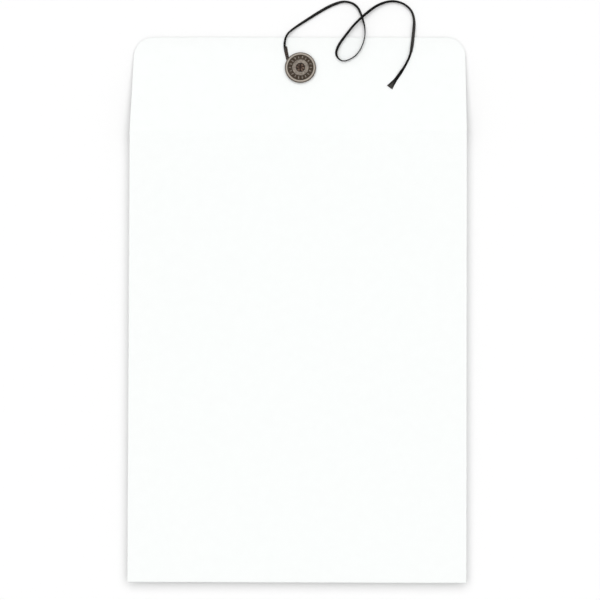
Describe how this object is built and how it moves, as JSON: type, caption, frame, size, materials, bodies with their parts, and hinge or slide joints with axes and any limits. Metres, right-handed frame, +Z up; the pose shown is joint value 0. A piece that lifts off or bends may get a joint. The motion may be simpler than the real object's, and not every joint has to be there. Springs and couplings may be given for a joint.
{
  "type": "string tie envelope",
  "caption": "Paper envelope for unfolded sheets, flap laid open, with ring-topped tack buttons on flap and back and a flat string to wind round them.",
  "frame": {"origin": "under the middle of the envelope, flap included and string left out, on the surface that it lies on", "axes": "+Z up, out of the front face; +Y from the closed end to the opened flap; +X to the right"},
  "size_m": [0.2286, 0.3952, 0.0082],
  "materials": {
    "paper": "uncoated white paper",
    "glue": "dried glue line",
    "cap_metal": "antiqued, dark in the recesses and worn on the rims",
    "base_metal": "dark antiqued",
    "tack_metal": "dull brown, peened end",
    "string": "flat braided black string"
  },
  "bodies": {
    "envelope": {"front_panel": "paper", "left_side_fold": "paper", "right_side_fold": "paper", "bottom_fold": "paper", "left_back_panel": "paper", "right_back_panel": "paper", "bottom_flap": "paper", "centre_seam_glue": "glue", "bottom_flap_glue": "glue", "back_patch": "paper", "back_button_tack": "tack_metal"},
    "flap": {"closing_flap": "paper", "flap_crease": "paper", "flap_patch": "paper", "flap_button_tack": "tack_metal", "string_loop": "string", "string": "string", "string_tip": "string"},
    "flap_button": {"flap_button_cap": "cap_metal", "flap_button_base": "base_metal", "flap_button_neck": "base_metal"},
    "back_button": {"back_button_cap": "cap_metal", "back_button_base": "base_metal", "back_button_neck": "base_metal"}
  },
  "joints": [
    {"name": "flap_fold", "type": "hinge", "parent": "envelope", "child": "flap", "pos_m": [0, 0.12016, 0.00448], "axis": [-1, 0, 0], "range_deg": [-6.88, 173.11], "deforming": ["flap_crease"]},
    {"name": "flap_button_turn", "type": "hinge", "parent": "flap", "child": "flap_button", "pos_m": [0.0014, 0.16379, 0.00292], "axis": [0, 0.1199, 0.9928], "continuous": true},
    {"name": "back_button_turn", "type": "hinge", "parent": "envelope", "child": "back_button", "pos_m": [0.0014, 0.03016, 0.0025], "axis": [0, 0, -1], "continuous": true}
  ]
}
